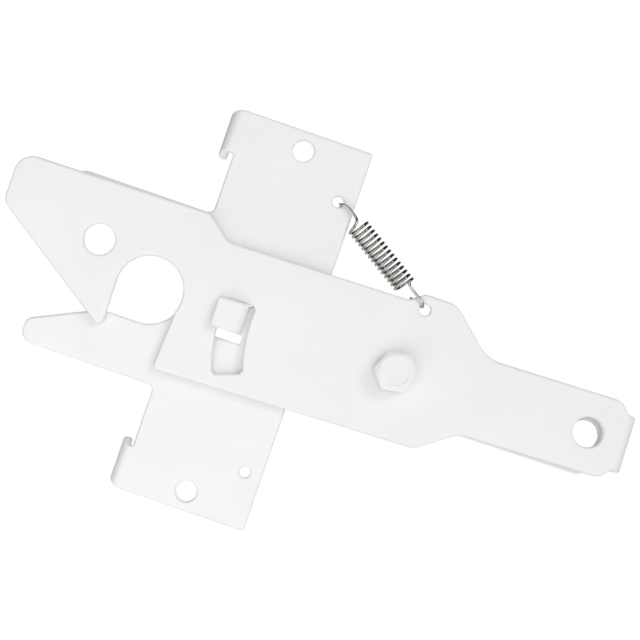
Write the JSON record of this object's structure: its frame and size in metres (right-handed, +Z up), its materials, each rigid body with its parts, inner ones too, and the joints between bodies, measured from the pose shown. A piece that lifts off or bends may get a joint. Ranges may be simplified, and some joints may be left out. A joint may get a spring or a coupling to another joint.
{
  "type": "stair gate latch",
  "caption": "Self-latching gate latch: a fork plate that clasps the gate upright, a folded lever with a hook jaw and a grip, and a return spring between them.",
  "frame": {"origin": "on the back face of the fork plate, on its centre line, between the fork's throat and the window that the tongue is cut from", "axes": "+X along the plate from the fork mouth towards the handle, +Y into the gate upright, +Z up along the upright"},
  "size_m": [0.2481, 0.0276, 0.1482],
  "materials": {
    "plate_coat": "semi-gloss white powder coat",
    "lever_coat": "semi-gloss white powder coat",
    "bolt_coat": "semi-gloss white paint",
    "zinc_steel": "bright zinc plate",
    "nylon": "matt",
    "spring_steel": "bright drawn wire"
  },
  "bodies": {
    "plate": {"mounting_plate": "plate_coat", "return_spring": "spring_steel"},
    "lever": {"latch_lever": "lever_coat", "pivot_bolt": "bolt_coat", "pivot_bushing": "zinc_steel", "back_washer": "zinc_steel", "lock_nut": "zinc_steel", "nut_insert": "nylon"}
  },
  "joints": [
    {"name": "latch_pivot", "type": "hinge", "parent": "plate", "child": "lever", "pos_m": [0.0795, 0, 0], "axis": [0, 1, 0], "range_deg": [0, 13.8], "stiffness_Nm_per_rad": 0.5, "springref_deg": -25.21, "deforming": ["return_spring"]}
  ]
}
